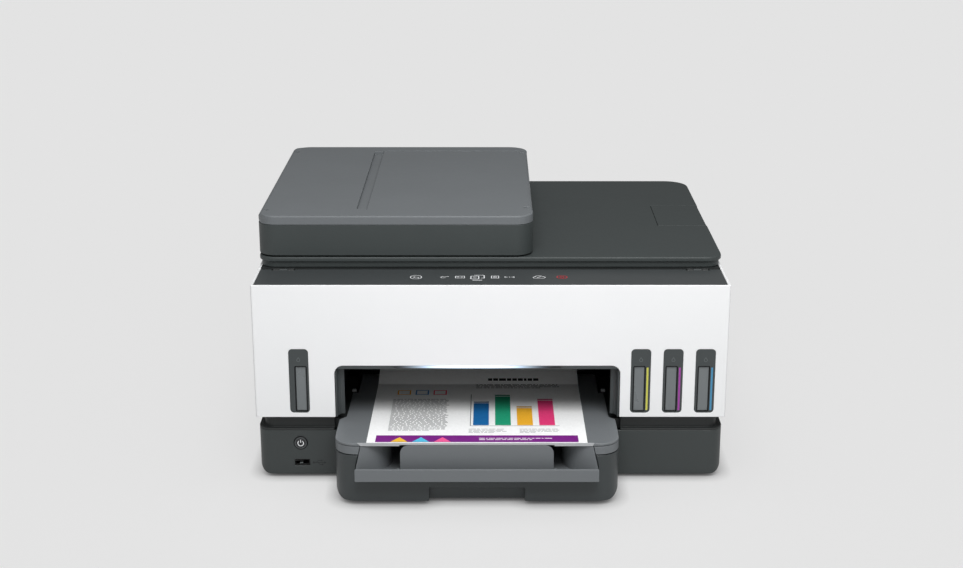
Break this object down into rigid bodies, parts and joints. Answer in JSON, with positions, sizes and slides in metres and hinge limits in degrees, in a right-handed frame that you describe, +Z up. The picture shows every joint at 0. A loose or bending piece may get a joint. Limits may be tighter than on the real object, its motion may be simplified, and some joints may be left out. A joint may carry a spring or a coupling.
{
  "type": "inkjet printer",
  "caption": "Ink-tank inkjet printer with a flatbed scanner, a document feeder, a pull-out paper cassette and an output tray with a slide-out extension.",
  "frame": {"origin": "centre of the footprint, on the surface that the feet stand on", "axes": "+Z up, the front with the control strip and the trays faces -Y, +X to the right seen from the front"},
  "size_m": [0.4496, 0.448, 0.2464],
  "materials": {
    "white_shell": "satin",
    "base_dark": "fine texture",
    "frame_black": "matte",
    "lid_dark": "fine texture",
    "cover_grey": "fine texture",
    "bezel_dark": "satin",
    "panel_gloss": "gloss",
    "cassette_dark": "satin",
    "tray_grey": "satin",
    "tank_clear": "translucent",
    "cap_black": "matte",
    "cap_cyan": "satin",
    "cap_magenta": "satin",
    "cap_yellow": "satin",
    "guide_blue": "satin",
    "guide_grey": "satin",
    "steel": "brushed",
    "brass": "satin",
    "rubber": "matte",
    "glass": "clear",
    "light": "lit",
    "board_green": "solder mask",
    "paper": "printed",
    "pad_white": "foam",
    "scan_black": "satin"
  },
  "bodies": {
    "casing": {"base": "base_dark", "feet": "rubber", "mid_frame": "frame_black", "side_panel_left": "white_shell", "side_panel_right": "white_shell", "rear_cover": "base_dark", "scanner_bed": "frame_black", "scan_glass": "glass", "scan_rod": "steel", "bay_bezel": "bezel_dark", "light_bar": "light", "platen": "frame_black", "carriage_rail": "steel", "timing_belt": "rubber", "carriage_motor": "steel", "service_station": "frame_black", "ink_tank_black": "tank_clear", "ink_tanks_color": "tank_clear", "ink_tubes": "tank_clear", "main_board": "board_green", "power_supply": "steel", "power_inlet": "cap_black", "rear_ports": "steel", "front_usb_port": "steel", "feed_motor": "steel", "output_tray": "tray_grey", "printed_page": "paper"},
    "front_door": {"front_door": "white_shell", "control_panel": "panel_gloss", "window_plates": "bezel_dark"},
    "power_button": {"power_button": "cap_black"},
    "rear_door": {"rear_door": "base_dark"},
    "cassette": {"cassette": "cassette_dark"},
    "width_guide_left": {"width_guide_left": "guide_blue"},
    "width_guide_right": {"width_guide_right": "guide_blue"},
    "extension": {"extension": "tray_grey"},
    "paper_stop": {"paper_stop": "tray_grey"},
    "carriage": {"carriage": "frame_black", "printheads": "cap_black"},
    "motor_pulley": {"motor_pulley": "brass"},
    "idler_pulley": {"idler_pulley": "guide_grey"},
    "feed_roller": {"feed_roller": "rubber"},
    "motor_gear": {"motor_gear": "guide_grey"},
    "exit_roller": {"exit_roller": "rubber"},
    "pick_arm": {"pick_arm": "frame_black"},
    "pick_roller": {"pick_roller": "rubber"},
    "scan_bar": {"scan_bar": "scan_black"},
    "scanner_lid": {"scanner_lid": "lid_dark", "lid_pad": "pad_white", "adf_body": "lid_dark"},
    "adf_cover": {"adf_cover": "cover_grey"},
    "adf_tray": {"adf_tray": "cover_grey"},
    "adf_guide_front": {"adf_guide_front": "guide_grey"},
    "adf_guide_rear": {"adf_guide_rear": "guide_grey"},
    "adf_roller": {"adf_roller": "lid_dark"},
    "document_stop": {"document_stop": "lid_dark"},
    "tank_cap_black": {"tank_cap_black": "cap_black"},
    "tank_cap_cyan": {"tank_cap_cyan": "cap_cyan"},
    "tank_cap_magenta": {"tank_cap_magenta": "cap_magenta"},
    "tank_cap_yellow": {"tank_cap_yellow": "cap_yellow"}
  },
  "joints": [
    {"name": "front_door_hinge", "type": "hinge", "parent": "casing", "child": "front_door", "pos_m": [0, -0.0945, 0.1925], "axis": [-1, 0, 0], "range_deg": [0, 60]},
    {"name": "power_button_press", "type": "slide", "parent": "casing", "child": "power_button", "axis": [0, 1, 0], "range_m": [0, 0.001], "stiffness_N_per_m": 400},
    {"name": "rear_door_hinge", "type": "hinge", "parent": "casing", "child": "rear_door", "pos_m": [0, 0.21875, 0.06785], "axis": [-1, 0, 0], "range_deg": [0, 80]},
    {"name": "cassette_slide", "type": "slide", "parent": "casing", "child": "cassette", "axis": [0, -1, 0], "range_m": [0, 0.22]},
    {"name": "left_guide_slide", "type": "slide", "parent": "cassette", "child": "width_guide_left", "axis": [1, 0, 0], "range_m": [0, 0.06]},
    {"name": "right_guide_slide", "type": "slide", "parent": "cassette", "child": "width_guide_right", "axis": [-1, 0, 0], "range_m": [0, 0.06]},
    {"name": "extension_slide", "type": "slide", "parent": "casing", "child": "extension", "axis": [0, -1, 0], "range_m": [0, 0.113]},
    {"name": "paper_stop_fold", "type": "hinge", "parent": "extension", "child": "paper_stop", "pos_m": [0, -0.2102, 0.0335], "axis": [-1, 0, 0], "range_deg": [0, 86]},
    {"name": "carriage_slide", "type": "slide", "parent": "casing", "child": "carriage", "axis": [-1, 0, 0], "range_m": [0, 0.315]},
    {"name": "motor_pulley_spin", "type": "hinge", "parent": "casing", "child": "motor_pulley", "pos_m": [0.197, 0.06075, 0.1231], "axis": [0, 1, 0], "range_deg": [0, 2700]},
    {"name": "idler_pulley_spin", "type": "hinge", "parent": "casing", "child": "idler_pulley", "pos_m": [-0.19, 0.06075, 0.1231], "axis": [0, 1, 0], "range_deg": [0, 2700]},
    {"name": "feed_roller_spin", "type": "hinge", "parent": "casing", "child": "feed_roller", "pos_m": [0, 0.056, 0.059], "axis": [1, 0, 0], "continuous": true},
    {"name": "motor_gear_spin", "type": "hinge", "parent": "casing", "child": "motor_gear", "pos_m": [-0.183, 0.026, 0.059], "axis": [1, 0, 0], "continuous": true},
    {"name": "exit_roller_spin", "type": "hinge", "parent": "casing", "child": "exit_roller", "pos_m": [0, 0.001, 0.059], "axis": [1, 0, 0], "continuous": true},
    {"name": "pick_arm_swing", "type": "hinge", "parent": "casing", "child": "pick_arm", "pos_m": [-0.01255, 0.141, 0.053], "axis": [1, 0, 0], "range_deg": [0, 13]},
    {"name": "pick_roller_spin", "type": "hinge", "parent": "pick_arm", "child": "pick_roller", "pos_m": [-0.01255, 0.086, 0.035], "axis": [1, 0, 0], "continuous": true},
    {"name": "scan_bar_slide", "type": "slide", "parent": "casing", "child": "scan_bar", "axis": [1, 0, 0], "range_m": [0, 0.305]},
    {"name": "scanner_lid_hinge", "type": "hinge", "parent": "casing", "child": "scanner_lid", "pos_m": [0, 0.2208, 0.1912], "axis": [-1, 0, 0], "range_deg": [0, 70]},
    {"name": "adf_cover_hinge", "type": "hinge", "parent": "scanner_lid", "child": "adf_cover", "pos_m": [-0.2205, 0.064, 0.2421], "axis": [0, -1, 0], "range_deg": [0, 80]},
    {"name": "adf_tray_hinge", "type": "hinge", "parent": "scanner_lid", "child": "adf_tray", "pos_m": [0.0373, 0.064, 0.2419], "axis": [0, 1, 0], "range_deg": [0, 165]},
    {"name": "adf_front_guide_slide", "type": "slide", "parent": "scanner_lid", "child": "adf_guide_front", "axis": [0, 1, 0], "range_m": [0, 0.05]},
    {"name": "adf_rear_guide_slide", "type": "slide", "parent": "scanner_lid", "child": "adf_guide_rear", "axis": [0, -1, 0], "range_m": [0, 0.05]},
    {"name": "adf_roller_spin", "type": "hinge", "parent": "scanner_lid", "child": "adf_roller", "pos_m": [-0.1708, 0.064, 0.2291], "axis": [0, 1, 0], "continuous": true},
    {"name": "document_stop_hinge", "type": "hinge", "parent": "scanner_lid", "child": "document_stop", "pos_m": [0.2222, 0.0673, 0.2032], "axis": [0, 1, 0], "range_deg": [0, 115]},
    {"name": "black_cap_hinge", "type": "hinge", "parent": "casing", "child": "tank_cap_black", "pos_m": [-0.1803, -0.107, 0.1409], "axis": [-1, 0, 0], "range_deg": [0, 100]},
    {"name": "yellow_cap_hinge", "type": "hinge", "parent": "casing", "child": "tank_cap_yellow", "pos_m": [0.1414, -0.107, 0.1409], "axis": [-1, 0, 0], "range_deg": [0, 100]},
    {"name": "magenta_cap_hinge", "type": "hinge", "parent": "casing", "child": "tank_cap_magenta", "pos_m": [0.172, -0.107, 0.1409], "axis": [-1, 0, 0], "range_deg": [0, 100]},
    {"name": "cyan_cap_hinge", "type": "hinge", "parent": "casing", "child": "tank_cap_cyan", "pos_m": [0.2026, -0.107, 0.1409], "axis": [-1, 0, 0], "range_deg": [0, 100]}
  ],
  "couplings": [
    {"joint": "right_guide_slide", "follows": "left_guide_slide", "ratio": 1},
    {"joint": "motor_pulley_spin", "follows": "carriage_slide", "rad_per_m": 149.25},
    {"joint": "idler_pulley_spin", "follows": "carriage_slide", "rad_per_m": 149.25},
    {"joint": "motor_gear_spin", "follows": "feed_roller_spin", "ratio": -1},
    {"joint": "exit_roller_spin", "follows": "feed_roller_spin", "ratio": 1.5},
    {"joint": "adf_rear_guide_slide", "follows": "adf_front_guide_slide", "ratio": 1}
  ]
}
